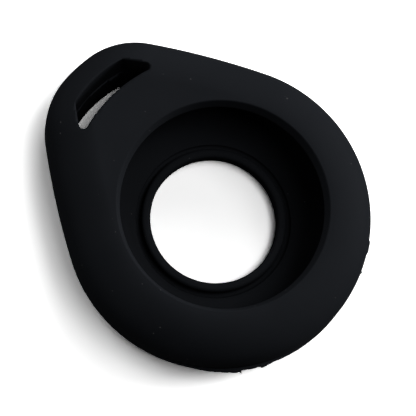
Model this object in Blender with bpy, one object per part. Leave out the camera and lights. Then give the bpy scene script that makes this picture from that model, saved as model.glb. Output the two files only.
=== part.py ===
"""Key fob cover: one soft moulding, shaped like a teardrop, that a round key fob is pushed into.

The resting face lies at z = 0 and the open front faces up. The pointed end with its key ring slot
points along +Y. The origin is the middle of the cover's length and width, so the axis of the round
pocket stands a little behind it. Outlines and profiles are drawn about that axis.
"""

import math

import bmesh
import bpy

MM = 0.001

# Pocket that holds the round fob, with the panels behind and in front of it
POCKET_RADIUS = 18.3 * MM
POCKET_HEIGHT = 8.85 * MM
POCKET_CORNER_RADIUS = 1.0 * MM
BACK_PANEL_THICKNESS = 1.45 * MM
LIP_THICKNESS = 1.7 * MM
SIDE_WALL_THICKNESS = 2.5 * MM

# Front mouth, which the lip surrounds and through which the fob goes in
MOUTH_RADIUS = 13.8 * MM
MOUTH_RIM_RADIUS = 0.8 * MM
LIP_UNDERSIDE_RADIUS = 0.3 * MM

# Hole through the back panel and the raised bead around it
BACK_HOLE_RADIUS = 8.82 * MM
BACK_HOLE_EDGE_RADIUS = 0.3 * MM
BEAD_WIDTH = 1.5 * MM
BEAD_HEIGHT = 0.95 * MM
BEAD_EDGE_RADIUS = 0.5 * MM
BEAD_FOOT_RADIUS = 0.3 * MM

# Key ring slot through the solid tip: a curved trapezoid, wider at its near edge. Its walls are
# drafted from the front face, the far one most
SLOT_WEB = 2.65 * MM
SLOT_DEPTH = 3.3 * MM
TIP_BAR_THICKNESS = 3.5 * MM
SLOT_NEAR_RADIUS = 21.0 * MM
SLOT_FAR_RADIUS = 17.7 * MM
SLOT_END_SPREAD = 5.85 * MM
SLOT_END_RADIUS = 0.6 * MM
SLOT_CORNER_SPREAD = 4.1 * MM
SLOT_CORNER_RADIUS = 0.6 * MM
SLOT_DRAFT_ANGLE = math.radians(1.5)
SLOT_FAR_DRAFT_ANGLE = math.radians(4.8)

# Teardrop outline: a round body set back from the pocket's axis, away from the tip, then long
# flanks, two round corners and a flatter front
BODY_SETBACK = 0.25 * MM
FLANK_RADIUS = 109.0 * MM
TIP_CORNER_RADIUS = 10.6 * MM
TIP_CORNER_SPREAD = 1.2 * MM
TIP_FRONT_RADIUS = 22.0 * MM

# Rounding of the outer edges and the height of the mould's parting plane. The front falls away
# more steeply beside the mouth with a lower crown, and its shoulder is squarer with a higher value
FRONT_ROUND_WIDTH = 6.1 * MM
FRONT_ROUND_DEPTH = 6.7 * MM
FRONT_ROUND_CROWN = 1.5
FRONT_ROUND_SHOULDER = 2.9
BACK_ROUND_RADIUS = 3.2 * MM
PARTING_HEIGHT = 4.8 * MM

# Largest share of a thickness that the rounding on one of its edges may take up
OUTER_EDGE_SHARE = 0.95
MOUTH_RIM_SHARE = 0.6
LIP_UNDERSIDE_SHARE = 0.3
BEAD_WIDTH_SHARE = 0.45
BEAD_HEIGHT_SHARE = 0.7

# Steps along the curves, and how far a cutter runs past what it cuts
TIP_FRONT_STEPS = 2
TIP_CORNER_STEPS = 9
FLANK_STEPS = 3
BODY_STEPS = 20
TURNED_STEPS = 60
EDGE_STEPS = 7
SMALL_ROUND_STEPS = 3
SLOT_EDGE_STEPS = 6
CUTTER_OVERRUN = 2.0 * MM

SILICONE_COLOUR = (0.014, 0.015, 0.018)
SILICONE_ROUGHNESS = 0.65
SMOOTH_ANGLE = math.radians(35.0)

# Sizes that follow from the ones above
BODY_RADIUS = POCKET_RADIUS + SIDE_WALL_THICKNESS
POCKET_FLOOR = BACK_PANEL_THICKNESS
LIP_UNDERSIDE = POCKET_FLOOR + POCKET_HEIGHT
FRONT_FACE = LIP_UNDERSIDE + LIP_THICKNESS
SLOT_NEAR_EDGE = POCKET_RADIUS + SLOT_WEB
SLOT_FAR_EDGE = SLOT_NEAR_EDGE + SLOT_DEPTH
TIP_REACH = SLOT_FAR_EDGE + TIP_BAR_THICKNESS
POCKET_AXIS_Y = (BODY_RADIUS + BODY_SETBACK - TIP_REACH) / 2.0

# A rounding is never larger than its share of the corner, wall or bead that it runs along
FRONT_WIDTH = min(FRONT_ROUND_WIDTH, OUTER_EDGE_SHARE * TIP_CORNER_RADIUS)
FRONT_DEPTH = min(FRONT_ROUND_DEPTH, OUTER_EDGE_SHARE * (FRONT_FACE - PARTING_HEIGHT))
BACK_ROUND = min(BACK_ROUND_RADIUS, OUTER_EDGE_SHARE * PARTING_HEIGHT)
MOUTH_RIM = min(MOUTH_RIM_RADIUS, MOUTH_RIM_SHARE * LIP_THICKNESS)
LIP_ROUND = min(LIP_UNDERSIDE_RADIUS, LIP_UNDERSIDE_SHARE * LIP_THICKNESS)
BEAD_ROUND = min(BEAD_EDGE_RADIUS, BEAD_WIDTH_SHARE * BEAD_WIDTH, BEAD_HEIGHT_SHARE * BEAD_HEIGHT)
BEAD_FOOT = min(BEAD_FOOT_RADIUS, OUTER_EDGE_SHARE * (BEAD_HEIGHT - BEAD_ROUND))


def clear_scene():
    """Remove every object that is in the open file."""
    for item in list(bpy.data.objects):
        bpy.data.objects.remove(item, do_unlink=True)


def silicone():
    """Matte black silicone rubber."""
    material = bpy.data.materials.new("black_silicone")
    material.use_nodes = True
    shader = material.node_tree.nodes["Principled BSDF"]
    shader.inputs["Base Color"].default_value = (*SILICONE_COLOUR, 1.0)
    shader.inputs["Roughness"].default_value = SILICONE_ROUGHNESS
    shader.inputs["Metallic"].default_value = 0.0
    return material


def arc(centre, radius, start, end, steps):
    """Points along an arc, angles in radians, without its last point."""
    angles = [start + (end - start) * i / steps for i in range(steps)]
    return [(centre[0] + radius * math.cos(a), centre[1] + radius * math.sin(a)) for a in angles]


def direction(start, end):
    """Angle of the line from one point to another."""
    return math.atan2(end[1] - start[1], end[0] - start[0])


def mirrored(right_half):
    """Close a right half, drawn clockwise from the +Y axis down to the -Y side of it."""
    left_half = [(-x, y) for x, y in right_half[1:-1]]
    return right_half + left_half[::-1]


def flank_centre(body, corner):
    """Centre of the long flank arc, which touches both the tip's corner arc and the body's circle."""
    from_body = FLANK_RADIUS - BODY_RADIUS
    from_corner = FLANK_RADIUS - TIP_CORNER_RADIUS
    span = math.dist(body, corner)
    along = (from_body**2 - from_corner**2 + span**2) / (2.0 * span)
    across = math.sqrt(from_body**2 - along**2)
    unit = ((corner[0] - body[0]) / span, (corner[1] - body[1]) / span)
    x = body[0] + unit[0] * along - unit[1] * across
    y = body[1] + unit[1] * along + unit[0] * across
    return (x, y)


def teardrop(inset):
    """Outer outline moved inwards by a distance, as four arcs a side that run into each other."""
    front = (0.0, TIP_REACH - TIP_FRONT_RADIUS)
    turn = TIP_FRONT_RADIUS - TIP_CORNER_RADIUS
    corner = (TIP_CORNER_SPREAD, front[1] + math.sqrt(turn**2 - TIP_CORNER_SPREAD**2))
    body = (0.0, -BODY_SETBACK)
    flank = flank_centre(body, corner)
    top = math.pi / 2
    corner_start = direction(front, corner)
    flank_start = direction(flank, corner)
    body_start = direction(flank, body)
    half = arc(front, TIP_FRONT_RADIUS - inset, top, corner_start, TIP_FRONT_STEPS)
    half += arc(corner, TIP_CORNER_RADIUS - inset, corner_start, flank_start, TIP_CORNER_STEPS)
    half += arc(flank, FLANK_RADIUS - inset, flank_start, body_start, FLANK_STEPS)
    half += arc(body, BODY_RADIUS - inset, body_start, -top, BODY_STEPS)
    half.append((0.0, body[1] - BODY_RADIUS + inset))
    return mirrored(half)


def slot_outline(depth):
    """Key ring slot at a depth below the front face, where its walls have closed in."""
    shrink = depth * math.tan(SLOT_DRAFT_ANGLE)
    far_shrink = depth * math.tan(SLOT_FAR_DRAFT_ANGLE)
    end_spread = SLOT_END_SPREAD - shrink
    corner_spread = SLOT_CORNER_SPREAD - shrink
    near = (0.0, SLOT_NEAR_EDGE + shrink - SLOT_NEAR_RADIUS)
    near_reach = SLOT_NEAR_RADIUS + SLOT_END_RADIUS
    end = (end_spread, near[1] + math.sqrt(near_reach**2 - end_spread**2))
    far = (0.0, SLOT_FAR_EDGE - far_shrink - SLOT_FAR_RADIUS)
    far_reach = SLOT_FAR_RADIUS - SLOT_CORNER_RADIUS
    corner = (corner_spread, far[1] + math.sqrt(far_reach**2 - corner_spread**2))
    lean = math.asin((SLOT_END_RADIUS - SLOT_CORNER_RADIUS) / math.dist(corner, end))
    side = direction(corner, end) + math.pi / 2 + lean
    top = math.pi / 2
    corner_start = direction(far, corner)
    end_stop = direction(end, near)
    near_start = direction(near, end)
    half = arc(far, SLOT_FAR_RADIUS, top, corner_start, SLOT_EDGE_STEPS)
    half += arc(corner, SLOT_CORNER_RADIUS, corner_start, side, SMALL_ROUND_STEPS)
    half += arc(end, SLOT_END_RADIUS, side, end_stop, EDGE_STEPS)
    half += arc(near, SLOT_NEAR_RADIUS, near_start, top, SLOT_EDGE_STEPS)
    half.append((0.0, SLOT_NEAR_EDGE + shrink))
    return mirrored(half)


def circle(radius):
    """Circle about the pocket's axis."""
    return arc((0.0, 0.0), radius, 0.0, 2.0 * math.pi, TURNED_STEPS)


def quarter(centre, radius, start, end):
    """Small quarter round in a turned profile, both ends included."""
    points = arc(centre, radius, start, end, SMALL_ROUND_STEPS)
    points.append((centre[0] + radius * math.cos(end), centre[1] + radius * math.sin(end)))
    return points


def outer_levels():
    """Inset and height of each outline of the body, from the resting face up to the front."""
    levels = []
    for i in range(EDGE_STEPS):
        angle = math.pi / 2 * i / EDGE_STEPS
        levels.append((BACK_ROUND * (1.0 - math.sin(angle)), BACK_ROUND * (1.0 - math.cos(angle))))
    levels.append((0.0, PARTING_HEIGHT))
    for i in range(EDGE_STEPS + 1):
        angle = math.pi / 2 * i / EDGE_STEPS
        inset = FRONT_WIDTH * (1.0 - abs(math.cos(angle)) ** (2.0 / FRONT_ROUND_CROWN))
        rise = FRONT_DEPTH * math.sin(angle) ** (2.0 / FRONT_ROUND_SHOULDER)
        levels.append((inset, FRONT_FACE - FRONT_DEPTH + rise))
    return levels


def pocket_profile():
    """Radius and height along the hollow's wall, from below the back hole to above the mouth."""
    up, right, down, left = math.pi / 2, 0.0, -math.pi / 2, math.pi
    bead_top = POCKET_FLOOR + BEAD_HEIGHT
    bead_outside = BACK_HOLE_RADIUS + BEAD_WIDTH
    hole_edge = BACK_HOLE_RADIUS + BACK_HOLE_EDGE_RADIUS
    corner_radius = POCKET_RADIUS - POCKET_CORNER_RADIUS
    lip_edge = MOUTH_RADIUS + LIP_ROUND
    rim_edge = MOUTH_RADIUS + MOUTH_RIM
    inner_bead = (BACK_HOLE_RADIUS + BEAD_ROUND, bead_top - BEAD_ROUND)
    outer_bead = (bead_outside - BEAD_ROUND, bead_top - BEAD_ROUND)
    low_corner = (corner_radius, POCKET_FLOOR + POCKET_CORNER_RADIUS)
    high_corner = (corner_radius, LIP_UNDERSIDE - POCKET_CORNER_RADIUS)
    profile = [(hole_edge, -CUTTER_OVERRUN)]
    profile += quarter((hole_edge, BACK_HOLE_EDGE_RADIUS), BACK_HOLE_EDGE_RADIUS, down, -left)
    profile += quarter(inner_bead, BEAD_ROUND, left, up)
    profile += quarter(outer_bead, BEAD_ROUND, up, right)
    profile += quarter((bead_outside + BEAD_FOOT, POCKET_FLOOR + BEAD_FOOT), BEAD_FOOT, -left, down)
    profile += quarter(low_corner, POCKET_CORNER_RADIUS, down, right)
    profile += quarter(high_corner, POCKET_CORNER_RADIUS, right, up)
    profile += quarter((lip_edge, LIP_UNDERSIDE + LIP_ROUND), LIP_ROUND, down, -left)
    profile += quarter((rim_edge, FRONT_FACE - MOUTH_RIM), MOUTH_RIM, left, up)
    profile.append((rim_edge, FRONT_FACE + CUTTER_OVERRUN))
    return profile


def lofted(name, levels):
    """Closed solid through outlines of equal length, given from the bottom up as (outline, height)."""
    mesh = bmesh.new()
    rings = [[mesh.verts.new((x, y, height)) for x, y in outline] for outline, height in levels]
    for lower, upper in zip(rings, rings[1:]):
        for i in range(len(lower)):
            mesh.faces.new((lower[i - 1], lower[i], upper[i], upper[i - 1]))
    mesh.faces.new(rings[0])
    mesh.faces.new(rings[-1])
    bmesh.ops.recalc_face_normals(mesh, faces=mesh.faces)
    data = bpy.data.meshes.new(name)
    mesh.to_mesh(data)
    mesh.free()
    solid = bpy.data.objects.new(name, data)
    solid.location.y = POCKET_AXIS_Y
    bpy.context.scene.collection.objects.link(solid)
    return solid


def body():
    """Solid teardrop with its rounded edges, before the hollows are cut."""
    return lofted("silicone_cover", [(teardrop(inset), height) for inset, height in outer_levels()])


def pocket_cutter():
    """Back hole, pocket and front mouth as one turned solid."""
    return lofted("pocket_cutter", [(circle(radius), height) for radius, height in pocket_profile()])


def slot_cutter():
    """Key ring slot, full size in the front face and narrower towards the resting face."""
    heights = (-CUTTER_OVERRUN, FRONT_FACE + CUTTER_OVERRUN)
    return lofted("slot_cutter", [(slot_outline(FRONT_FACE - height), height) for height in heights])


def cut(solid, cutter):
    """Take a cutter out of a solid and keep it only as a wire guide."""
    cutter.hide_render = True
    cutter.display_type = "WIRE"
    boolean = solid.modifiers.new(cutter.name, "BOOLEAN")
    boolean.operation = "DIFFERENCE"
    boolean.solver = "EXACT"
    boolean.object = cutter


def silicone_cover():
    """The whole cover: teardrop body with its pocket, mouth, back hole, bead and key ring slot."""
    cover = body()
    cover.data.materials.append(silicone())
    cut(cover, pocket_cutter())
    cut(cover, slot_cutter())
    cover.data.shade_smooth()
    cover.data.set_sharp_from_angle(angle=SMOOTH_ANGLE)
    return cover


def main():
    """Build the part in an empty scene."""
    clear_scene()
    silicone_cover()


main()
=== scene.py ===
"""Key fob cover in matte black silicone, lying open side up on a pale floor.

The cover is one moulding: a teardrop with an undercut pocket for a round key fob, a wide front
mouth, a back hole ringed by a bead and a key ring slot through its solid tip. Its skin is lofted
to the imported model's size, and thin torn flash follows the mould's parting planes round the
outer wall and inside the slot. Lengths are in metres: z = 0 is the resting face, +Z is the open
front and +Y is the tip. Outlines and sections are drawn about the pocket's axis.
"""

import logging
import math
from dataclasses import dataclass, replace
from enum import Enum

import bmesh
import bpy
from bpy.types import Material, Node, NodeOutputs, NodeSocket, NodeTree, Object
from mathutils import Matrix, Vector


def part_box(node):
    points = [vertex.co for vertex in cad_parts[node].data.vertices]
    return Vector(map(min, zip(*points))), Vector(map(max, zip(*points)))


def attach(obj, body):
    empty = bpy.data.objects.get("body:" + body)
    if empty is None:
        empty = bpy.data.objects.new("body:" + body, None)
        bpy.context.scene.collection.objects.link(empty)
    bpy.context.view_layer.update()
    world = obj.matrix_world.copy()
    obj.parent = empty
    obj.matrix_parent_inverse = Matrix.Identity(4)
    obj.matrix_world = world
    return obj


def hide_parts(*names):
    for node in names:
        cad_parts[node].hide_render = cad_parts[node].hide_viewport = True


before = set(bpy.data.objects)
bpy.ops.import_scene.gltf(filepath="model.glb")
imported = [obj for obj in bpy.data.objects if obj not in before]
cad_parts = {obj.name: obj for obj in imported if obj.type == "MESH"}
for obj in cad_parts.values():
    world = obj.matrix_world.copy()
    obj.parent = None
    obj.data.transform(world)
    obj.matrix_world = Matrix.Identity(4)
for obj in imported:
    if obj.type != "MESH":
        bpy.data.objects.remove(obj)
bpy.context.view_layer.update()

LOG = logging.getLogger("key_fob_cover")
MM = 0.001
COVER_NODE = "silicone_cover"
BODY = "root"
RECORD_SLOT = "black_silicone"
QUARTER_TURN = math.pi / 2

# Directions in a section: away from the pocket's axis, up, back towards the axis, and down
OUT, UP, BACK, DOWN = 0.0, QUARTER_TURN, math.pi, -QUARTER_TURN

Colour = tuple[float, float, float]
NodeValue = float | int | bool | tuple | NodeSocket


# Outlines


@dataclass(frozen=True)
class PathPoint:
    """Point of a closed outline and the level direction that leaves the outline there."""

    place: Vector
    outward: Vector

    def mirrored(self) -> "PathPoint":
        """Give this point on the other side of the Y axis."""
        flip = Vector((-1.0, 1.0, 1.0))
        return PathPoint(self.place * flip, self.outward * flip)


@dataclass(frozen=True)
class Arc:
    """Round stretch of an outline, its angles in radians.

    A hollow arc bulges into the outline's inside, so outwards is towards its centre.
    """

    centre: Vector
    radius: float
    start: float
    end: float
    steps: int
    hollow: bool = False

    def at(self, share: float) -> PathPoint:
        """Find one point of the arc.

        Args:
            share: 0 at the arc's start and 1 at its end.

        Returns:
            The point, with the direction that leaves the outline.
        """
        angle = self.start + (self.end - self.start) * share
        away = Vector((math.cos(angle), math.sin(angle), 0.0))
        outward = -away if self.hollow else away
        return PathPoint(self.centre + away * self.radius, outward)


def bearing(start: Vector, end: Vector) -> float:
    """Give the angle about Z of the line from one point to another."""
    return math.atan2(end.y - start.y, end.x - start.x)


def closed_outline(arcs: list[Arc]) -> list[PathPoint]:
    """Join arcs down the right side and mirror them to close the outline.

    Args:
        arcs: Arcs in clockwise order, from the Y axis on the tip's side round to the other.

    Returns:
        The points of the whole outline, clockwise.
    """
    half = [arc.at(step / arc.steps) for arc in arcs for step in range(arc.steps)]
    half.append(arcs[-1].at(1.0))
    left = [point.mirrored() for point in half[1:-1]]
    return half + left[::-1]


@dataclass(frozen=True)
class Teardrop:
    """Outer outline of the cover and the rounding of its front edge.

    The body's circle is centred behind the pocket's axis, away from the tip.
    """

    body_radius: float
    tip_reach: float
    front_face: float
    body_setback: float = 0.25 * MM
    flank_radius: float = 109.0 * MM
    tip_corner_radius: float = 10.6 * MM
    tip_corner_spread: float = 1.2 * MM
    tip_front_radius: float = 22.0 * MM
    round_width: float = 6.0 * MM
    round_depth: float = 6.7 * MM
    round_crown: float = 1.65
    round_shoulder: float = 2.9
    tip_front_steps: int = 8
    tip_corner_steps: int = 36
    flank_steps: int = 26
    body_steps: int = 90

    def flank_centre(self, body: Vector, corner: Vector) -> Vector:
        """Find the centre of the long flank arc.

        Args:
            body: Centre of the body's circle.
            corner: Centre of the tip's corner arc.

        Returns:
            The centre of the arc that touches both the corner's arc and the body's circle.
        """
        from_body = self.flank_radius - self.body_radius
        from_corner = self.flank_radius - self.tip_corner_radius
        span = (corner - body).length
        along = (from_body**2 - from_corner**2 + span**2) / (2.0 * span)
        across = math.sqrt(from_body**2 - along**2)
        unit = (corner - body) / span
        sideways = Vector((-unit.y, unit.x, 0.0))
        return body + unit * along + sideways * across

    def outline(self) -> list[PathPoint]:
        """Draw the outline as four arcs a side that run into each other.

        Returns:
            The points, clockwise from the middle of the tip.
        """
        body = Vector((0.0, -self.body_setback, 0.0))
        front = Vector((0.0, self.tip_reach - self.tip_front_radius, 0.0))
        turn = self.tip_front_radius - self.tip_corner_radius
        rise = math.sqrt(turn**2 - self.tip_corner_spread**2)
        corner = Vector((self.tip_corner_spread, front.y + rise, 0.0))
        flank = self.flank_centre(body, corner)
        corner_start = bearing(front, corner)
        flank_start = bearing(flank, corner)
        body_start = bearing(flank, body)
        return closed_outline([
            Arc(front, self.tip_front_radius, QUARTER_TURN, corner_start, self.tip_front_steps),
            Arc(corner, self.tip_corner_radius, corner_start, flank_start, self.tip_corner_steps),
            Arc(flank, self.flank_radius, flank_start, body_start, self.flank_steps),
            Arc(body, self.body_radius, body_start, -QUARTER_TURN, self.body_steps),
        ])

    def front_round(self, share: float) -> tuple[float, float]:
        """Follow the front edge's rounding.

        Args:
            share: 0 on the outer wall and 1 on the front face.

        Returns:
            The inset from the outline and the height there.
        """
        angle = QUARTER_TURN * share
        inset = self.round_width * (1.0 - abs(math.cos(angle)) ** (2.0 / self.round_crown))
        rise = self.round_depth * math.sin(angle) ** (2.0 / self.round_shoulder)
        return inset, self.front_face - self.round_depth + rise

    def front_height(self, inset: float) -> float:
        """Find the front surface's height.

        Args:
            inset: Level distance inwards from the outline.

        Returns:
            The height there.
        """
        left = 1.0 - min(inset, self.round_width) / self.round_width
        fall = left**self.round_crown
        rise = self.round_depth * (1.0 - fall) ** (1.0 / self.round_shoulder)
        return self.front_face - self.round_depth + rise


# Node trees


class SocketKind(Enum):
    """Kinds of socket on the trees made here, by their names in Blender."""

    NUMBER = "NodeSocketFloat"
    OBJECT = "NodeSocketObject"
    MATERIAL = "NodeSocketMaterial"
    MESH = "NodeSocketGeometry"


class MixKind(Enum):
    """What a Mix node mixes, with the places of its two inputs and its output on the node."""

    VECTOR = (4, 5, 1)
    RGBA = (6, 7, 2)


Sockets = dict[str, SocketKind]


def numbers(*names: str) -> Sockets:
    """Name sockets that are all numbers."""
    return dict.fromkeys(names, SocketKind.NUMBER)


class NodeBuilder:
    """Adds nodes to one node tree and joins them."""

    SMOOTH_DETAIL = 1.0
    NOISE_MIDDLE = 0.5

    def __init__(self, tree: NodeTree) -> None:
        """Work on a tree."""
        self.tree = tree

    def set_input(self, socket: NodeSocket, value: NodeValue) -> None:
        """Link a socket to an input, or set its value.

        Args:
            socket: The input.
            value: What it is given.
        """
        if isinstance(value, NodeSocket):
            self.tree.links.new(value, socket)
        else:
            socket.default_value = value

    def node(self, kind: str, inputs: dict[int | str, NodeValue], **settings: object) -> Node:
        """Add a node.

        Args:
            kind: The node's type.
            inputs: Values or sockets for its inputs, by name or place.
            **settings: The node's own properties.

        Returns:
            The new node.
        """
        node = self.tree.nodes.new(kind)
        for name, setting in settings.items():
            setattr(node, name, setting)
        for key, value in inputs.items():
            self.set_input(node.inputs[key], value)
        return node

    def maths(self, operation: str, *values: NodeValue) -> NodeSocket:
        """Add a Math node on one to three values and give its result."""
        return self.node("ShaderNodeMath", dict(enumerate(values)), operation=operation).outputs[0]

    def vector(self, operation: str, *values: NodeValue) -> NodeSocket:
        """Add a Vector Math node on one or two vectors and give the vector that it makes."""
        return self.node("ShaderNodeVectorMath", dict(enumerate(values)), operation=operation).outputs[0]

    def scaled(self, vector: NodeSocket, scale: NodeValue) -> NodeSocket:
        """Multiply a vector by a number."""
        return self.node("ShaderNodeVectorMath", {0: vector, "Scale": scale}, operation="SCALE").outputs[0]

    def parts(self, vector: NodeSocket) -> NodeOutputs:
        """Split a vector into its X, Y and Z."""
        return self.node("ShaderNodeSeparateXYZ", {0: vector}).outputs

    def mixed(self, kind: MixKind, share: NodeValue, first: NodeValue, second: NodeValue) -> NodeSocket:
        """Mix two colours or two vectors.

        Args:
            kind: Which of them to mix.
            share: 0 for all of the first and 1 for all of the second.
            first: The first colour or vector.
            second: The second one.

        Returns:
            The mixture.
        """
        first_place, second_place, result = kind.value
        inputs = {0: share, first_place: first, second_place: second}
        return self.node("ShaderNodeMix", inputs, data_type=kind.name).outputs[result]

    def noise(self, place: NodeSocket, scale: NodeValue, detail: float) -> NodeSocket:
        """Give a noise from 0 to 1 at each place."""
        inputs = {"Vector": place, "Scale": scale, "Detail": detail}
        return self.node("ShaderNodeTexNoise", inputs).outputs["Fac"]

    def swing(self, place: NodeSocket, scale: NodeValue) -> NodeSocket:
        """Give a smooth noise that swings half either way about 0."""
        return self.maths("SUBTRACT", self.noise(place, scale, self.SMOOTH_DETAIL), self.NOISE_MIDDLE)

    def remapped(self, value: NodeSocket, low: NodeValue, high: NodeValue) -> NodeSocket:
        """Stretch the values between two limits to 0 and 1, smoothly and clamped."""
        inputs = {"Value": value, "From Min": low, "From Max": high}
        return self.node("ShaderNodeMapRange", inputs, interpolation_type="SMOOTHSTEP").outputs[0]


class GroupBuilder(NodeBuilder):
    """Makes a node tree with its own sockets and builds it."""

    def __init__(self, name: str, kind: str, inputs: Sockets, outputs: Sockets) -> None:
        """Make the tree, with only its input node.

        Args:
            name: The tree's name.
            kind: GeometryNodeTree or ShaderNodeTree.
            inputs: The kind of each named input.
            outputs: The kind of each named output.
        """
        super().__init__(bpy.data.node_groups.new(name, kind))
        for in_out, sockets in (("INPUT", inputs), ("OUTPUT", outputs)):
            for label, socket in sockets.items():
                self.tree.interface.new_socket(label, in_out=in_out, socket_type=socket.value)
        self.given = self.node("NodeGroupInput", {}).outputs


class SweepBuilder(GroupBuilder):
    """Builds a tree that sweeps a section round an outline, both the points of helper objects.

    The outline's points carry the direction outwards. A section point's X, Y and Z are two level
    sizes and a height.
    """

    SHARED_INPUTS = {
        "Outline": SocketKind.OBJECT,
        "Section": SocketKind.OBJECT,
        "Axis Y": SocketKind.NUMBER,
        "Weld": SocketKind.NUMBER,
        "Finish": SocketKind.MATERIAL,
    }
    OWN_INPUTS: Sockets = {}
    OUTPUTS = {"Mesh": SocketKind.MESH}

    def __init__(self, name: str) -> None:
        """Make the tree, lay its grid, and read the outline and the section at the grid's points.

        Args:
            name: The tree's name.
        """
        super().__init__(name, "GeometryNodeTree", self.SHARED_INPUTS | self.OWN_INPUTS, self.OUTPUTS)
        self.outline = self.geometry_of(self.given["Outline"])
        self.section = self.geometry_of(self.given["Section"])
        self.grid, self.column, self.row = self.wrapped_grid()
        self.place = self.outline_value("FLOAT_VECTOR", "position")
        self.away = self.outline_value("FLOAT_VECTOR", "outward")
        self.sizes = self.parts(self.section_value("FLOAT_VECTOR", "position"))

    def whole(self, operation: str, *values: NodeValue) -> NodeSocket:
        """Add an Integer Math node on two values and give its result."""
        return self.node("FunctionNodeIntegerMath", dict(enumerate(values)), operation=operation).outputs[0]

    def geometry_of(self, item: NodeSocket) -> NodeSocket:
        """Give the geometry of an object input."""
        return self.node("GeometryNodeObjectInfo", {"Object": item}).outputs["Geometry"]

    def point_count(self, geometry: NodeSocket) -> NodeSocket:
        """Count a mesh's points."""
        return self.node("GeometryNodeAttributeDomainSize", {0: geometry}).outputs["Point Count"]

    def wrapped_grid(self) -> tuple[NodeSocket, NodeSocket, NodeSocket]:
        """Make a grid whose columns go once round the outline and whose rows go once round the section.

        Returns:
            The grid, then the numbers of the outline's and the section's point for each of its points.
        """
        around, along = self.point_count(self.outline), self.point_count(self.section)
        rows = self.whole("ADD", along, 1)
        size = {"Vertices X": self.whole("ADD", around, 1), "Vertices Y": rows}
        grid = self.node("GeometryNodeMeshGrid", size).outputs["Mesh"]
        index = self.node("GeometryNodeInputIndex", {}).outputs[0]
        column = self.whole("MODULO", self.whole("DIVIDE_FLOOR", index, rows), around)
        row = self.whole("MODULO", self.whole("MODULO", index, rows), along)
        return grid, column, row

    def sampled(self, kind: str, name: str, source: NodeSocket, number: NodeSocket) -> NodeSocket:
        """Read an attribute at one numbered point of another geometry.

        Args:
            kind: FLOAT or FLOAT_VECTOR.
            name: The attribute's name.
            source: The geometry to read from.
            number: Which point to read it at.

        Returns:
            The value that was read.
        """
        value = self.node("GeometryNodeInputNamedAttribute", {"Name": name}, data_type=kind).outputs[0]
        inputs = {"Geometry": source, "Value": value, "Index": number}
        return self.node("GeometryNodeSampleIndex", inputs, data_type=kind).outputs[0]

    def outline_value(self, kind: str, name: str) -> NodeSocket:
        """Read an attribute of the outline at each of the grid's points."""
        return self.sampled(kind, name, self.outline, self.column)

    def section_value(self, kind: str, name: str) -> NodeSocket:
        """Read an attribute of the section at each of the grid's points."""
        return self.sampled(kind, name, self.section, self.row)

    def swept(self, level: NodeSocket, height: NodeSocket) -> NodeSocket:
        """Move the grid's points and weld its edges together.

        Args:
            level: Their level place, about the pocket's axis.
            height: Their height.

        Returns:
            The closed skin.
        """
        lift = self.node("ShaderNodeCombineXYZ", {"Y": self.given["Axis Y"], "Z": height}).outputs[0]
        place = self.vector("ADD", level, lift)
        skin = self.node("GeometryNodeSetPosition", {"Geometry": self.grid, "Position": place}).outputs[0]
        weld = {"Geometry": skin, "Distance": self.given["Weld"]}
        return self.node("GeometryNodeMergeByDistance", weld).outputs[0]

    def finish(self, geometry: NodeSocket) -> None:
        """End the tree: shade smooth, realize instances and set the material.

        Args:
            geometry: The finished shape.
        """
        smooth = self.node("GeometryNodeSetShadeSmooth", {"Geometry": geometry}).outputs[0]
        real = self.node("GeometryNodeRealizeInstances", {"Geometry": smooth}).outputs[0]
        dress = {"Geometry": real, "Material": self.given["Finish"]}
        self.node("NodeGroupOutput", {0: self.node("GeometryNodeSetMaterial", dress).outputs[0]})


# Helper objects and finished pieces


def linked_object(name: str, data: bpy.types.ID) -> Object:
    """Make an object and link it into the scene.

    Args:
        name: The object's name.
        data: Its mesh, lamp or camera.

    Returns:
        The object.
    """
    made = bpy.data.objects.new(name, data)
    bpy.context.scene.collection.objects.link(made)
    return made


def helper_object(name: str, points: list[Vector], faces: list[tuple[int, ...]], closed: bool) -> Object:
    """Make an object from points.

    Args:
        name: The object's name.
        points: Its vertices.
        faces: Its faces, as tuples of vertex numbers.
        closed: Whether edges join the points in a loop.

    Returns:
        The object, linked into the scene.
    """
    mesh = bpy.data.meshes.new(name)
    count = len(points)
    edges = [(i, (i + 1) % count) for i in range(count)] if closed else []
    mesh.from_pydata([tuple(point) for point in points], edges, faces)
    return linked_object(name, mesh)


def solid_object(name: str, rings: list[list[Vector]]) -> Object:
    """Make a closed solid through rings of equal length.

    Args:
        name: The object's name.
        rings: The places of each ring's points, from the bottom up.

    Returns:
        The solid, with its faces turned outwards.
    """
    count = len(rings[0])
    top = (len(rings) - 1) * count
    faces = [tuple(range(count))]
    for low in range(0, top, count):
        high = low + count
        faces += [(low + i, low + (i + 1) % count, high + (i + 1) % count, high + i) for i in range(count)]
    faces.append(tuple(reversed(range(top, top + count))))
    solid = helper_object(name, [place for ring in rings for place in ring], faces, closed=False)
    mesh = bmesh.new()
    mesh.from_mesh(solid.data)
    bmesh.ops.recalc_face_normals(mesh, faces=mesh.faces)
    mesh.to_mesh(solid.data)
    mesh.free()
    return solid


def write_attribute(helper: Object, name: str, values: list[float] | list[Vector]) -> None:
    """Store an attribute at the vertices of a helper object.

    Args:
        helper: The object.
        name: The attribute's name.
        values: A number or a vector for each vertex.
    """
    vectors = isinstance(values[0], Vector)
    attribute = helper.data.attributes.new(name, "FLOAT_VECTOR" if vectors else "FLOAT", "POINT")
    for item, value in zip(attribute.data, values):
        setattr(item, "vector" if vectors else "value", value)


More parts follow.
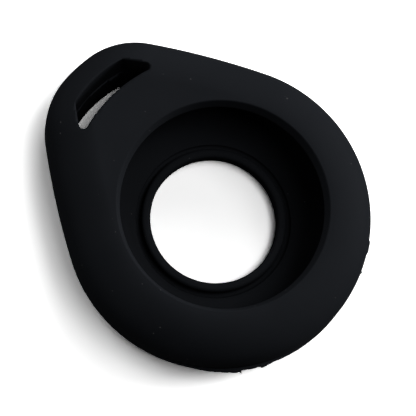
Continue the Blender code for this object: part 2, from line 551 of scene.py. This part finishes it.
def path_object(name: str, outline: list[PathPoint], height: float) -> Object:
    """Make a closed path that remembers which way is outwards.

    Args:
        name: The object's name.
        outline: The path's points.
        height: The height of all of them.

    Returns:
        The path.
    """
    raised = [point.place + Vector((0.0, 0.0, height)) for point in outline]
    path = helper_object(name, raised, [], closed=True)
    write_attribute(path, "outward", [point.outward for point in outline])
    return path


def grown_piece(name: str, tree: NodeTree, helpers: dict[str, Object], values: dict[str, object]) -> Object:
    """Run a Geometry Nodes tree and keep its result as a plain mesh in one finish.

    Args:
        name: The new piece's name.
        tree: The tree, whose inputs are known by name.
        helpers: The objects that only the tree needs, by input. They are removed after it.
        values: The value of each other input, the material's under Finish.

    Returns:
        The piece, with no modifier left on it.
    """
    piece = linked_object(name, bpy.data.meshes.new(name + "_start"))
    modifier = piece.modifiers.new(name, "NODES")
    modifier.node_group = tree
    inputs = helpers | values
    for item in tree.interface.items_tree:
        if item.in_out == "INPUT":
            modifier[item.identifier] = inputs[item.name]
    bpy.context.view_layer.update()
    graph = bpy.context.evaluated_depsgraph_get()
    mesh = bpy.data.meshes.new_from_object(piece.evaluated_get(graph))
    mesh.name = name
    mesh.materials.clear()
    mesh.materials.append(values["Finish"])
    piece.modifiers.clear()
    piece.data = mesh
    for helper in helpers.values():
        bpy.data.objects.remove(helper)
    return piece


def tie_piece(piece: Object) -> None:
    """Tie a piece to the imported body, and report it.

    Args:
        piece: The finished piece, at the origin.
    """
    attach(piece, BODY)
    LOG.info("%s: %d faces", piece.name, len(piece.data.polygons))


# Finishes


def opaque(colour: Colour) -> tuple[float, float, float, float]:
    """Give a colour its alpha."""
    return (*colour, 1.0)


class SurfaceEffects:
    """Shader node groups that more than one finish can use."""

    GRAIN_DETAIL = 3.0
    CLOUD_DETAIL = 5.0
    CLOUD_LOW = 0.3
    CLOUD_HIGH = 0.7

    def __init__(self) -> None:
        """Build each group once."""
        self.grain = self.make_grain()
        self.lint = self.make_lint()

    def make_grain(self) -> NodeTree:
        """Build the fine pebbled grain that a blasted mould leaves, with slow cloudy patches.

        Returns:
            The group.
        """
        inputs, outputs = numbers("Grain Scale", "Cloud Scale"), numbers("Height", "Clouds")
        build = GroupBuilder("moulded_grain", "ShaderNodeTree", inputs, outputs)
        place = build.node("ShaderNodeTexCoord", {}).outputs["Object"]
        fine = build.noise(place, build.given["Grain Scale"], self.GRAIN_DETAIL)
        cloud = build.noise(place, build.given["Cloud Scale"], self.CLOUD_DETAIL)
        cloud = build.remapped(cloud, self.CLOUD_LOW, self.CLOUD_HIGH)
        build.node("NodeGroupOutput", {"Height": fine, "Clouds": cloud})
        return build.tree

    def make_lint(self) -> NodeTree:
        """Build sparse pale specks of lint that cling to the rubber.

        Returns:
            The group.
        """
        inputs = numbers("Speck Scale", "Speck Size", "Amount")
        build = GroupBuilder("clinging_lint", "ShaderNodeTree", inputs, numbers("Mask"))
        place = build.node("ShaderNodeTexCoord", {}).outputs["Object"]
        spots = {"Vector": place, "Scale": build.given["Speck Scale"]}
        cells = build.node("ShaderNodeTexVoronoi", spots).outputs
        chance = build.node("ShaderNodeSeparateColor", {"Color": cells["Color"]}).outputs
        chosen = build.maths("LESS_THAN", chance["Red"], build.given["Amount"])
        reach = build.maths("MULTIPLY", chance["Green"], build.given["Speck Size"])
        inside = build.maths("LESS_THAN", cells["Distance"], reach)
        build.node("NodeGroupOutput", {"Mask": build.maths("MULTIPLY", chosen, inside)})
        return build.tree


@dataclass(frozen=True)
class RubberFinish:
    """Matte black silicone rubber, as the mould leaves it."""

    name: str
    colour: Colour = (0.0088, 0.0098, 0.0117)
    cloud_colour: Colour = (0.0096, 0.0106, 0.0126)
    lint_colour: Colour = (0.05, 0.05, 0.052)
    smooth_roughness: float = 0.60
    rough_roughness: float = 0.70
    specular: float = 0.01
    grain_scale: float = 3600.0
    grain_depth: float = 0.004 * MM
    cloud_scale: float = 170.0
    speck_scale: float = 900.0
    speck_size: float = 0.1
    speck_amount: float = 0.3

    def material(self, effects: SurfaceEffects) -> Material:
        """Make the material.

        Args:
            effects: The shared shader node groups.

        Returns:
            The finished material.
        """
        made = bpy.data.materials.new(self.name)
        made.use_nodes = True
        build = NodeBuilder(made.node_tree)
        scales = {"Grain Scale": self.grain_scale, "Cloud Scale": self.cloud_scale}
        grain = build.node("ShaderNodeGroup", scales, node_tree=effects.grain).outputs
        specks = {
            "Speck Scale": self.speck_scale,
            "Speck Size": self.speck_size,
            "Amount": self.speck_amount,
        }
        lint = build.node("ShaderNodeGroup", specks, node_tree=effects.lint).outputs
        clouds = grain["Clouds"]
        rubber = build.mixed(MixKind.RGBA, clouds, opaque(self.colour), opaque(self.cloud_colour))
        dusted = build.mixed(MixKind.RGBA, lint["Mask"], rubber, opaque(self.lint_colour))
        spread = {"Value": clouds, "To Min": self.smooth_roughness, "To Max": self.rough_roughness}
        relief = {"Distance": self.grain_depth, "Height": grain["Height"]}
        shader = made.node_tree.nodes["Principled BSDF"].inputs
        build.set_input(shader["Base Color"], dusted)
        build.set_input(shader["Roughness"], build.node("ShaderNodeMapRange", spread).outputs[0])
        build.set_input(shader["Normal"], build.node("ShaderNodeBump", relief).outputs[0])
        build.set_input(shader["Specular IOR Level"], self.specular)
        return made


# The moulding


@dataclass(frozen=True)
class Ring:
    """One ring of the cover's skin.

    A turned ring has share 0 and a radius about the pocket's axis. A ring of the outer shape has
    share 1 and an inset from the teardrop. Rings between them mix the two.
    """

    height: float
    radius: float = 0.0
    inset: float = 0.0
    share: float = 0.0

    def towards(self, end: "Ring", share: float) -> "Ring":
        """Give the turned ring at a share of the way from this one to another."""
        height = self.height + (end.height - self.height) * share
        return Ring(height, self.radius + (end.radius - self.radius) * share)


@dataclass(frozen=True)
class Hollow:
    """Turned surfaces of the cover: flared mouth, pocket, back hole, and bead with its groove."""

    front_face: float
    pocket_radius: float = 18.3 * MM
    pocket_floor: float = 1.45 * MM
    pocket_height: float = 8.85 * MM
    pocket_corner: float = 1.0 * MM
    mouth_radius: float = 13.8 * MM
    mouth_flare: float = math.radians(22.0)
    rim_round: float = 0.22 * MM
    lip_round: float = 0.3 * MM
    hole_radius: float = 8.82 * MM
    hole_edge: float = 0.3 * MM
    bead_width: float = 1.25 * MM
    bead_height: float = 0.95 * MM
    bead_round: float = 0.5 * MM
    groove_round: float = 0.36 * MM
    groove_depth: float = 0.5 * MM
    groove_edge: float = 0.1 * MM
    round_steps: int = 8
    flat_steps: int = 6
    wall_steps: int = 8

    @property
    def underside(self) -> float:
        """Height of the lip's underside."""
        return self.pocket_floor + self.pocket_height

    @property
    def hole_outside(self) -> float:
        """Radius where the hole's edge runs into the resting face."""
        return self.hole_radius + self.hole_edge

    @property
    def rim_outside(self) -> float:
        """Find where the mouth's rim runs into the front face.

        Returns:
            The radius there, about the pocket's axis.
        """
        rise, level = math.sin(self.mouth_flare), math.cos(self.mouth_flare)
        start = self.underside + self.lip_round * (1.0 + rise)
        end = self.front_face - self.rim_round * (1.0 - rise)
        flared = (end - start) * math.tan(self.mouth_flare)
        return self.mouth_radius + self.lip_round * (1.0 - level) + flared + self.rim_round * level

    def quarter(self, radius: float, height: float, size: float, start: float, end: float) -> list[Ring]:
        """Follow a quarter round in the section.

        Args:
            radius: Radius of the round's centre about the pocket's axis.
            height: Height of the round's centre.
            size: The round's own radius.
            start: Angle at its start, 0 away from the axis and a quarter turn up.
            end: Angle at its end.

        Returns:
            Rings along the round, both ends included.
        """
        rings = []
        for step in range(self.round_steps + 1):
            angle = start + (end - start) * step / self.round_steps
            rings.append(Ring(height + size * math.sin(angle), radius + size * math.cos(angle)))
        return rings

    def bead_rings(self) -> list[Ring]:
        """Go round the hole's edge, over the bead and through the groove beside it.

        Returns:
            The rings from the resting face up to the pocket's floor.
        """
        bead_top = self.pocket_floor + self.bead_height - self.bead_round
        bead_inside = self.hole_radius + self.bead_round
        bead_outside = self.hole_radius + self.bead_width
        groove_middle = bead_outside + self.groove_round
        groove_bottom = self.pocket_floor - self.groove_depth + self.groove_round
        brink = bead_outside + 2.0 * self.groove_round + self.groove_edge
        rings = self.quarter(self.hole_outside, self.hole_edge, self.hole_edge, DOWN, -BACK)
        rings += self.quarter(bead_inside, bead_top, self.bead_round, BACK, UP)
        rings += self.quarter(bead_outside - self.bead_round, bead_top, self.bead_round, UP, OUT)
        rings += self.quarter(groove_middle, groove_bottom, self.groove_round, -BACK, OUT)
        return rings + self.quarter(brink, self.pocket_floor - self.groove_edge, self.groove_edge, BACK, UP)

    def rings(self) -> list[Ring]:
        """Follow the hollow from the hole's edge on the resting face up to the mouth's rim.

        Returns:
            The rings in order, without the one where the rim meets the front face.
        """
        corner, lip = self.pocket_radius - self.pocket_corner, self.mouth_radius + self.lip_round
        low, high = self.pocket_floor + self.pocket_corner, self.underside - self.pocket_corner
        lip_height, rim_height = self.underside + self.lip_round, self.front_face - self.rim_round
        flare = self.mouth_flare
        stretches = (
            (self.flat_steps, self.quarter(corner, low, self.pocket_corner, DOWN, OUT)),
            (self.wall_steps, self.quarter(corner, high, self.pocket_corner, OUT, UP)),
            (self.flat_steps, self.quarter(lip, lip_height, self.lip_round, DOWN, -BACK - flare)),
            (self.flat_steps, self.quarter(self.rim_outside, rim_height, self.rim_round, BACK - flare, UP)),
        )
        rings = self.bead_rings()
        for steps, stretch in stretches:
            rings += [rings[-1].towards(stretch[0], step / steps) for step in range(1, steps)] + stretch
        return rings[:-1]


class Datum(Enum):
    """Surface that a level of the slot is measured from."""

    REST = "resting face"
    FRONT = "front surface, which falls towards the tip's edge"
    TOP = "highest part of the front surface"


@dataclass(frozen=True)
class SlotLevel:
    """One level of the slot's wall: how deep its outline lies, its rounding and its height."""

    depth: float
    grow: float
    datum: Datum
    rise: float


@dataclass(frozen=True)
class KeyRingSlot:
    """Curved slot through the tip, with walls drafted from the front and softly rounded edges."""

    front_face: float
    near_edge: float = 20.95 * MM
    far_edge: float = 24.25 * MM
    near_radius: float = 21.0 * MM
    far_radius: float = 17.7 * MM
    end_spread: float = 5.85 * MM
    end_radius: float = 0.6 * MM
    corner_spread: float = 4.1 * MM
    corner_radius: float = 0.6 * MM
    draft: float = math.radians(1.5)
    far_draft: float = math.radians(4.8)
    front_edge_round: float = 0.18 * MM
    back_edge_round: float = 0.05 * MM
    edge_steps: int = 30
    corner_steps: int = 8
    end_steps: int = 16
    round_steps: int = 5
    round_stop: float = math.radians(75.0)
    overrun: float = 2.0 * MM

    def outline(self, depth: float) -> list[PathPoint]:
        """Give the slot's outline, whose walls close in with depth.

        Args:
            depth: Distance below the front face.

        Returns:
            The points, clockwise from the middle of the far wall.
        """
        shrink = depth * math.tan(self.draft)
        far_shrink = depth * math.tan(self.far_draft)
        near = Vector((0.0, self.near_edge + shrink - self.near_radius, 0.0))
        far = Vector((0.0, self.far_edge - far_shrink - self.far_radius, 0.0))
        end_spread = self.end_spread - shrink
        corner_spread = self.corner_spread - shrink
        end_rise = math.sqrt((self.near_radius + self.end_radius) ** 2 - end_spread**2)
        corner_rise = math.sqrt((self.far_radius - self.corner_radius) ** 2 - corner_spread**2)
        end = Vector((end_spread, near.y + end_rise, 0.0))
        corner = Vector((corner_spread, far.y + corner_rise, 0.0))
        lean = math.asin((self.end_radius - self.corner_radius) / (corner - end).length)
        side = bearing(corner, end) + QUARTER_TURN + lean
        corner_start = bearing(far, corner)
        end_stop = bearing(end, near)
        near_start = bearing(near, end)
        return closed_outline([
            Arc(far, self.far_radius, QUARTER_TURN, corner_start, self.edge_steps),
            Arc(corner, self.corner_radius, corner_start, side, self.corner_steps),
            Arc(end, self.end_radius, side, end_stop, self.end_steps),
            Arc(near, self.near_radius, near_start, QUARTER_TURN, self.edge_steps, hollow=True),
        ])

    def levels(self) -> list[SlotLevel]:
        """List the cutter's levels from below the resting face to above the front.

        Returns:
            The levels from the bottom up.
        """
        angles = [self.round_stop * step / self.round_steps for step in range(self.round_steps + 1)]
        levels = [SlotLevel(self.front_face, self.back_edge_round, Datum.REST, -self.overrun)]
        for angle in reversed(angles):
            grow = self.back_edge_round * (1.0 - math.cos(angle))
            rise = self.back_edge_round * (1.0 - math.sin(angle))
            levels.append(SlotLevel(self.front_face, grow, Datum.REST, rise))
        for angle in angles:
            grow = self.front_edge_round * (1.0 - math.cos(angle))
            rise = self.front_edge_round * (math.sin(angle) - 1.0)
            levels.append(SlotLevel(0.0, grow, Datum.FRONT, rise))
        levels.append(SlotLevel(0.0, self.front_edge_round, Datum.TOP, self.overrun))
        return levels

    def cutter(self, shape: Teardrop, axis_y: float) -> Object:
        """Build the solid that is taken out of the tip.

        Args:
            shape: The outer shape, whose front surface the slot's edge follows.
            axis_y: Place of the pocket's axis along Y.

        Returns:
            The cutter, as a helper object.
        """
        rim = [point.place for point in shape.outline()]
        rings = []
        for level in self.levels():
            ring = [point.place + point.outward * level.grow for point in self.outline(level.depth)]
            for place in ring:
                inset = min((place - edge).length for edge in rim)
                datum = {
                    Datum.REST: 0.0,
                    Datum.FRONT: shape.front_height(inset),
                    Datum.TOP: shape.front_face,
                }[level.datum]
                place.z = datum + level.rise
                place.y += axis_y
            rings.append(ring)
        return solid_object("slot_cutter", rings)


class MouldingBuilder(SweepBuilder):
    """Builds the tree that lofts the cover's skin and cuts the slot."""

    OWN_INPUTS = numbers("Waviness", "Wave Scale", "Flat Until") | {"Opening": SocketKind.OBJECT}

    def waved(self, skin: NodeSocket) -> NodeSocket:
        """Make the skin faintly uneven, but leave the resting face flat.

        Args:
            skin: The smooth skin.

        Returns:
            The uneven skin.
        """
        place = self.node("GeometryNodeInputPosition", {}).outputs[0]
        off_floor = self.remapped(self.parts(place)["Z"], 0.0, self.given["Flat Until"])
        depth = self.maths("MULTIPLY", self.given["Waviness"], off_floor)
        swell = self.maths("MULTIPLY", self.swing(place, self.given["Wave Scale"]), depth)
        normal = self.node("GeometryNodeInputNormal", {}).outputs[0]
        moved = {"Geometry": skin, "Offset": self.scaled(normal, swell)}
        return self.node("GeometryNodeSetPosition", moved).outputs[0]

    def moulding(self) -> NodeTree:
        """Loft the skin, cut the slot and end the tree.

        Returns:
            The tree.
        """
        turned = self.scaled(self.vector("NORMALIZE", self.place), self.sizes["X"])
        shaped = self.vector("SUBTRACT", self.place, self.scaled(self.away, self.sizes["Y"]))
        level = self.mixed(MixKind.VECTOR, self.section_value("FLOAT", "share"), turned, shaped)
        skin = self.waved(self.swept(level, self.sizes["Z"]))
        cut = {"Mesh 1": skin, "Mesh 2": self.geometry_of(self.given["Opening"])}
        cover = self.node("GeometryNodeMeshBoolean", cut, operation="DIFFERENCE", solver="EXACT")
        self.finish(cover.outputs["Mesh"])
        return self.tree


@dataclass(frozen=True)
class Moulding:
    """The cover itself, lofted round the pocket's axis and cut through at the tip."""

    shape: Teardrop
    hollow: Hollow
    slot: KeyRingSlot
    axis_y: float
    back_round: float = 3.2 * MM
    face_steps: int = 12
    round_steps: int = 22
    back_round_steps: int = 12
    waviness: float = 0.012 * MM
    wave_scale: float = 160.0
    flat_until: float = 1.0 * MM
    weld: float = 0.001 * MM

    def face_rings(self, height: float, radius: float, inset: float) -> list[Ring]:
        """Give the rings of a level face, from its turned edge out to the teardrop's."""
        steps = self.face_steps
        return [Ring(height, radius, inset, step / steps) for step in range(steps + 1)]

    def section(self) -> list[Ring]:
        """Follow the whole skin: front face, outer wall, resting face and the hollow.

        Returns:
            The rings in order.
        """
        shape, hollow = self.shape, self.hollow
        rings = self.face_rings(shape.front_face, hollow.rim_outside, shape.round_width)
        for step in reversed(range(self.round_steps)):
            inset, height = shape.front_round(step / self.round_steps)
            rings.append(Ring(height, inset=inset, share=1.0))
        for step in range(self.back_round_steps):
            angle = QUARTER_TURN * step / self.back_round_steps
            inset = self.back_round * (1.0 - math.cos(angle))
            height = self.back_round * (1.0 - math.sin(angle))
            rings.append(Ring(height, inset=inset, share=1.0))
        rings += reversed(self.face_rings(0.0, hollow.hole_outside, self.back_round))
        return rings + hollow.rings()[1:]

    def section_object(self) -> Object:
        """Store the section for the node tree: radius, inset and height as a place, and the share.

        Returns:
            The helper object that holds it.
        """
        rings = self.section()
        places = [Vector((ring.radius, ring.inset, ring.height)) for ring in rings]
        helper = helper_object("cover_section", places, [], closed=False)
        write_attribute(helper, "share", [ring.share for ring in rings])
        return helper

    def build(self, finish: Material) -> None:
        """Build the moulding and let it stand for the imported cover.

        Args:
            finish: The rubber's material.
        """
        helpers = {
            "Outline": path_object("cover_outline", self.shape.outline(), 0.0),
            "Section": self.section_object(),
            "Opening": self.slot.cutter(self.shape, self.axis_y),
        }
        values = {
            "Axis Y": self.axis_y,
            "Weld": self.weld,
            "Waviness": self.waviness,
            "Wave Scale": self.wave_scale,
            "Flat Until": self.flat_until,
            "Finish": finish,
        }
        tree = MouldingBuilder("lofted_moulding").moulding()
        piece = grown_piece("silicone_moulding", tree, helpers, values)
        tie_piece(piece)
        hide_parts(COVER_NODE)


# Torn flash along the mould's parting planes


# Degrees over which flash fades where it breaks off clean
CLEAN_BREAK = 0.01

# Steps of the outlines that the flash follows, fine enough for its torn edge
FINE_TEARDROP = {"tip_front_steps": 40, "tip_corner_steps": 180, "flank_steps": 260, "body_steps": 640}
FINE_SLOT = {"edge_steps": 140, "corner_steps": 16, "end_steps": 30}


@dataclass(frozen=True)
class FlashPatch:
    """Stretch where the flash was left standing.

    Its bearings are in degrees about the pocket's axis, from +X towards the tip. It grows over
    its ramp and fades over its fall.
    """

    start: float
    end: float
    reach: float
    ramp: float
    fall: float = CLEAN_BREAK

    def reach_at(self, place: Vector) -> float:
        """Find how far this patch stands out.

        Args:
            place: Place on the outline.

        Returns:
            The reach beside it.
        """
        full_turn = 360.0
        along = (math.degrees(math.atan2(place.y, place.x)) - self.start) % full_turn
        length = (self.end - self.start) % full_turn
        if along > length:
            return 0.0
        return self.reach * min(1.0, along / self.ramp, (length - along) / self.fall)


@dataclass(frozen=True)
class FlashRibbon:
    """Thin ragged ribbon that stands out of a wall along one parting plane.

    Nearer to the pocket's axis than its patches begin, only its low reach is left.
    """

    name: str
    height: float
    low_reach: float
    raggedness: float
    patches: tuple[FlashPatch, ...]
    patches_beyond: float = 0.0
    away: float = 1.0
    root: float = 0.15 * MM
    root_thickness: float = 0.10 * MM
    tip_thickness: float = 0.03 * MM
    rag_scale: float = 1500.0
    ripple: float = 0.05 * MM
    weld: float = 0.0001 * MM

    def reach_at(self, place: Vector) -> float:
        """Give the ribbon's reach beside a place on its outline."""
        patches = self.patches if place.length >= self.patches_beyond else ()
        return max([self.low_reach, *(patch.reach_at(place) for patch in patches)])

    def path(self, outline: list[PathPoint]) -> Object:
        """Make the path that the ribbon follows.

        Args:
            outline: The outline of the wall.

        Returns:
            The path, with the ribbon's reach at each point.
        """
        path = path_object(self.name + "_path", outline, self.height)
        write_attribute(path, "reach", [self.reach_at(point.place) for point in outline])
        return path

    def section(self) -> Object:
        """Make the ribbon's thin wedge: fixed reach, share of the reach and height as a place.

        Returns:
            The helper object that holds it.
        """
        root, tip = self.root_thickness / 2.0, self.tip_thickness / 2.0
        places = [
            Vector((-self.root, 0.0, -root)),
            Vector((0.0, 0.0, -root)),
            Vector((0.0, 1.0, -tip)),
            Vector((0.0, 1.0, tip)),
            Vector((0.0, 0.0, root)),
            Vector((-self.root, 0.0, root)),
        ]
        return helper_object(self.name + "_section", places, [], closed=False)

    def build(self, tree: NodeTree, outline: list[PathPoint], axis_y: float, finish: Material) -> None:
        """Build the ribbon along an outline.

        Args:
            tree: The shared ribbon tree.
            outline: The outline of the wall at the ribbon's height.
            axis_y: Place of the pocket's axis along Y.
            finish: The rubber's material.
        """
        helpers = {"Outline": self.path(outline), "Section": self.section()}
        values = {
            "Axis Y": axis_y,
            "Weld": self.weld,
            "Away": self.away,
            "Raggedness": self.raggedness,
            "Rag Scale": self.rag_scale,
            "Ripple": self.ripple,
            "Finish": finish,
        }
        tie_piece(grown_piece(self.name, tree, helpers, values))


class RibbonBuilder(SweepBuilder):
    """Builds the tree that sweeps a thin ragged ribbon along a closed outline."""

    OWN_INPUTS = numbers("Away", "Raggedness", "Rag Scale", "Ripple")
    TEAR_DETAIL = 3.0
    TEAR_LOW = 0.35
    TEAR_HIGH = 0.65
    RIPPLE_SCALE_SHARE = 0.5

    def torn_reach(self) -> NodeSocket:
        """Tear ragged bits off the ribbon's edge.

        Returns:
            The reach that is left.
        """
        noise = self.noise(self.place, self.given["Rag Scale"], self.TEAR_DETAIL)
        torn = self.remapped(noise, self.TEAR_LOW, self.TEAR_HIGH)
        lost = self.maths("MULTIPLY", torn, self.given["Raggedness"])
        kept = self.maths("SUBTRACT", 1.0, lost)
        return self.maths("MULTIPLY", self.outline_value("FLOAT", "reach"), kept)

    def rippled_height(self) -> NodeSocket:
        """Let the ribbon ripple towards its edge.

        Returns:
            The height.
        """
        scale = self.maths("MULTIPLY", self.given["Rag Scale"], self.RIPPLE_SCALE_SHARE)
        wave = self.maths("MULTIPLY", self.swing(self.place, scale), self.given["Ripple"])
        return self.maths("ADD", self.sizes["Z"], self.maths("MULTIPLY", wave, self.sizes["Y"]))

    def ribbon(self) -> NodeTree:
        """Sweep the ribbon and end the tree.

        Returns:
            The tree.
        """
        distance = self.maths("MULTIPLY_ADD", self.sizes["Y"], self.torn_reach(), self.sizes["X"])
        distance = self.maths("MULTIPLY", distance, self.given["Away"])
        level = self.vector("ADD", self.place, self.scaled(self.away, distance))
        self.finish(self.swept(level, self.rippled_height()))
        return self.tree


PARTING_FLASH = FlashRibbon(
    name="parting_flash",
    height=4.8 * MM,
    low_reach=0.02 * MM,
    raggedness=0.12,
    patches=(
        FlashPatch(start=-160.0, end=-126.3, reach=0.72 * MM, ramp=33.0),
        FlashPatch(start=-127.5, end=-126.3, reach=1.02 * MM, ramp=0.8),
        FlashPatch(start=-126.9, end=-118.9, reach=0.48 * MM, ramp=0.4),
        FlashPatch(start=-119.4, end=-110.0, reach=0.69 * MM, ramp=0.4, fall=8.3),
        FlashPatch(start=-119.6, end=-78.0, reach=0.34 * MM, ramp=0.5, fall=31.0),
        FlashPatch(start=-67.4, end=-65.0, reach=0.46 * MM, ramp=2.0),
        FlashPatch(start=-61.5, end=-52.2, reach=0.50 * MM, ramp=4.5, fall=1.0),
    ),
)
SLOT_FLASH = FlashRibbon(
    name="slot_flash",
    height=6.3 * MM,
    low_reach=0.06 * MM,
    raggedness=0.35,
    patches=(
        FlashPatch(start=80.0, end=84.5, reach=0.34 * MM, ramp=1.5),
        FlashPatch(start=84.5, end=93.0, reach=0.20 * MM, ramp=0.5),
        FlashPatch(start=95.0, end=103.0, reach=0.14 * MM, ramp=3.0),
    ),
    patches_beyond=22.4 * MM,
    away=-1.0,
)


# Setting


@dataclass(frozen=True)
class Setting:
    """Pale floor and background, which aren't part of the cover."""

    floor_size: float = 1.6
    floor_colour: Colour = (2.0, 2.0, 2.0)
    floor_bounce: Colour = (0.12, 0.12, 0.12)
    sky_colour: Colour = (1.0, 1.0, 1.0)
    background: float = 1.0
    fill: float = 0.01

    def camera_ray(self, build: NodeBuilder) -> NodeSocket:
        """Give 1 where the camera itself looks and 0 for light that bounces."""
        return build.node("ShaderNodeLightPath", {}).outputs["Is Camera Ray"]

    def floor_material(self) -> Material:
        """Make matte white card that keeps a soft shadow and throws little light back.

        Returns:
            The material.
        """
        made = bpy.data.materials.new("white_card")
        made.use_nodes = True
        made.node_tree.nodes.clear()
        build = NodeBuilder(made.node_tree)
        bounce, seen = opaque(self.floor_bounce), opaque(self.floor_colour)
        colour = build.mixed(MixKind.RGBA, self.camera_ray(build), bounce, seen)
        card = build.node("ShaderNodeBsdfDiffuse", {"Color": colour})
        build.node("ShaderNodeOutputMaterial", {"Surface": card.outputs[0]})
        return made

    def build_floor(self) -> None:
        """Lay the floor under the cover."""
        half = self.floor_size / 2.0
        corners = [Vector((x * half, y * half, 0.0)) for x, y in ((-1, -1), (1, -1), (1, 1), (-1, 1))]
        floor = helper_object("floor", corners, [(0, 1, 2, 3)], closed=False)
        floor.data.materials.append(self.floor_material())

    def build_world(self) -> None:
        """Give the camera a white background and the cover only a little fill."""
        world = bpy.data.worlds.new("studio")
        world.use_nodes = True
        bpy.context.scene.world = world
        build = NodeBuilder(world.node_tree)
        seen = self.camera_ray(build)
        strength = build.maths("MULTIPLY_ADD", seen, self.background - self.fill, self.fill)
        sky = world.node_tree.nodes["Background"].inputs
        build.set_input(sky["Strength"], strength)
        build.set_input(sky["Color"], opaque(self.sky_colour))


@dataclass(frozen=True)
class Softbox:
    """Soft lamp aimed at the middle of the cover. Angles are in degrees, about Z from +X and up."""

    name: str
    azimuth: float
    elevation: float
    power: float
    size: float = 0.5
    distance: float = 1.0

    def build(self, target: Vector) -> None:
        """Hang the lamp.

        Args:
            target: The place that it is aimed at.
        """
        data = bpy.data.lights.new(self.name, "AREA")
        data.shape = "DISK"
        data.size = self.size
        data.energy = self.power
        lamp = linked_object(self.name, data)
        around, up = math.radians(self.azimuth), math.radians(self.elevation)
        towards = Vector((math.cos(up) * math.cos(around), math.cos(up) * math.sin(around), math.sin(up)))
        lamp.location = target + towards * self.distance
        lamp.rotation_mode = "QUATERNION"
        lamp.rotation_quaternion = towards.to_track_quat("Z", "Y")
        LOG.info("lamp %s", self.name)


STUDIO_LAMPS = (
    Softbox("low_key", azimuth=-30.0, elevation=15.0, power=9.6, size=0.45),
    Softbox("low_middle", azimuth=0.0, elevation=22.0, power=1.7),
    Softbox("low_side", azimuth=30.0, elevation=33.0, power=2.6),
    Softbox("tip_side", azimuth=90.0, elevation=22.0, power=2.35),
    Softbox("tip_rear", azimuth=150.0, elevation=22.0, power=1.2),
    Softbox("high_key", azimuth=-15.0, elevation=60.0, power=2.55),
    Softbox("overhead", azimuth=-60.0, elevation=74.0, power=2.5),
)


@dataclass(frozen=True)
class Viewpoint:
    """Camera that looks down on the cover from almost overhead, leaning towards its side.

    It looks at a point of the front face, given across and along from the pocket's axis.
    """

    across: float = -1.91 * MM
    along: float = 1.17 * MM
    distance: float = 260.0 * MM
    lean: float = math.radians(14.4)
    azimuth: float = math.radians(193.8)
    picture_right: float = math.radians(-45.2)
    lens: float = 169.62
    nearest: float = 10.0 * MM

    def build(self, axis_y: float, front_face: float) -> None:
        """Set up the scene's camera.

        Args:
            axis_y: Place of the pocket's axis along Y.
            front_face: Height of the front face.
        """
        target = Vector((self.across, axis_y + self.along, front_face))
        level = math.sin(self.lean)
        back = Vector((level * math.cos(self.azimuth), level * math.sin(self.azimuth), math.cos(self.lean)))
        up_hint = Vector((-math.sin(self.picture_right), math.cos(self.picture_right), 0.0))
        right = up_hint.cross(back).normalized()
        up = back.cross(right)
        data = bpy.data.cameras.new("camera")
        data.lens = self.lens
        data.clip_start = self.nearest
        camera = linked_object("camera", data)
        turn = Matrix((right, up, back)).transposed().to_4x4()
        camera.matrix_world = Matrix.Translation(target + back * self.distance) @ turn
        bpy.context.scene.camera = camera


def main() -> None:
    """Build the cover, its setting, the lamps and the camera."""
    logging.basicConfig(level=logging.INFO, format="%(message)s")
    bpy.context.scene.view_settings.view_transform = "Standard"
    low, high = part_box(COVER_NODE)
    body_radius = (high.x - low.x) / 2.0
    axis_y = low.y + body_radius + Teardrop.body_setback
    shape = Teardrop(body_radius, tip_reach=high.y - axis_y, front_face=high.z)
    slot = KeyRingSlot(high.z)
    rubber = RubberFinish(RECORD_SLOT).material(SurfaceEffects())
    Moulding(shape, Hollow(high.z), slot, axis_y).build(rubber)
    ribbon = RibbonBuilder("ragged_ribbon").ribbon()
    wall = replace(shape, **FINE_TEARDROP).outline()
    PARTING_FLASH.build(ribbon, wall, axis_y, rubber)
    slot_wall = replace(slot, **FINE_SLOT).outline(high.z - SLOT_FLASH.height)
    SLOT_FLASH.build(ribbon, slot_wall, axis_y, rubber)
    setting = Setting()
    setting.build_floor()
    setting.build_world()
    for lamp in STUDIO_LAMPS:
        lamp.build(Vector((0.0, 0.0, high.z / 2.0)))
    Viewpoint().build(axis_y, high.z)


if __name__ == "__main__":
    main()
